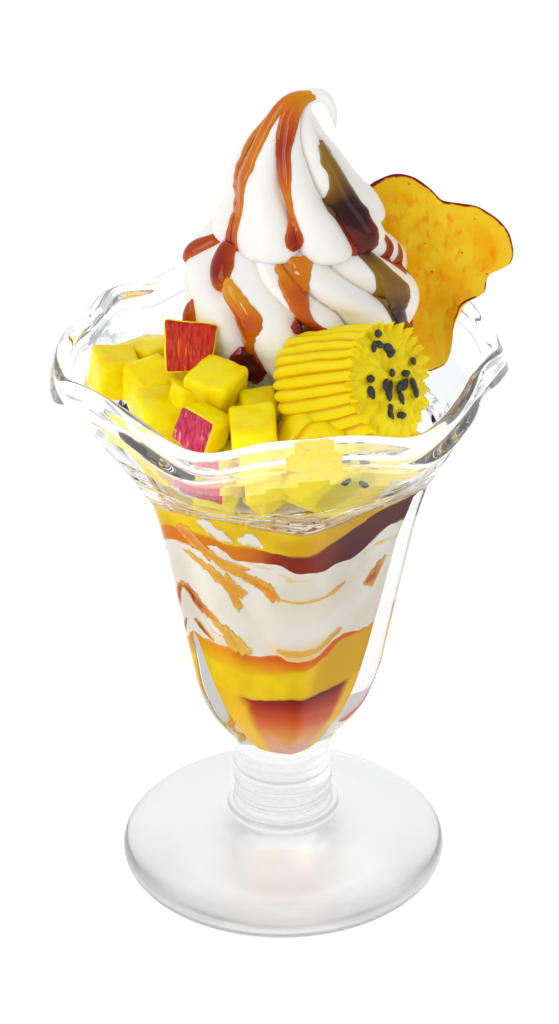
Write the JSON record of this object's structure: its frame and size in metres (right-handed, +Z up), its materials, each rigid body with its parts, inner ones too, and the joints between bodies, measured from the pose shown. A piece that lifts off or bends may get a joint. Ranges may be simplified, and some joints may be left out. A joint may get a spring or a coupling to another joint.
{
  "type": "parfait",
  "caption": "Sweet potato parfait in a six-sided footed glass: caramel, paste and soft serve layers under a soft serve swirl, diced potato, piped cream and a dried slice.",
  "frame": {"origin": "Centre of the underside of the glass's foot, on the surface that it stands on.", "axes": "+Z up; -Y is the front, where the piped cream and the diced potato are; +X is the viewer's right, where the dried slice stands."},
  "size_m": [0.1029, 0.0992, 0.1915],
  "materials": {
    "glass_clear": "clear polished glass, fire-smoothed lip",
    "caramel": "glossy translucent caramel sauce",
    "potato_paste": "moist yellow sweet potato paste",
    "soft_serve": "ivory soft serve, satin, slightly translucent",
    "piped_cream": "ribbed yellow piped cream, satin",
    "potato_chip": "dried slice, mottled yellow with a red skin edge",
    "potato_dice": "cooked sweet potato, moist, some faces with red skin"
  },
  "bodies": {
    "root": {"glass": "glass_clear", "caramel_bottom": "caramel", "caramel_middle": "caramel", "caramel_upper": "caramel", "potato_paste_lower": "potato_paste", "potato_paste_upper": "potato_paste", "soft_serve_middle": "soft_serve", "soft_serve_swirl": "soft_serve", "piped_cream": "piped_cream", "potato_chip": "potato_chip", "dice_left_outer": "potato_dice", "dice_left_back": "potato_dice", "dice_red_skin": "potato_dice", "dice_pale_edge": "potato_dice", "dice_centre": "potato_dice", "dice_small": "potato_dice", "dice_front_left": "potato_dice", "dice_pink_skin": "potato_dice", "dice_front": "potato_dice", "dice_shaded": "potato_dice"}
  },
  "joints": []
}
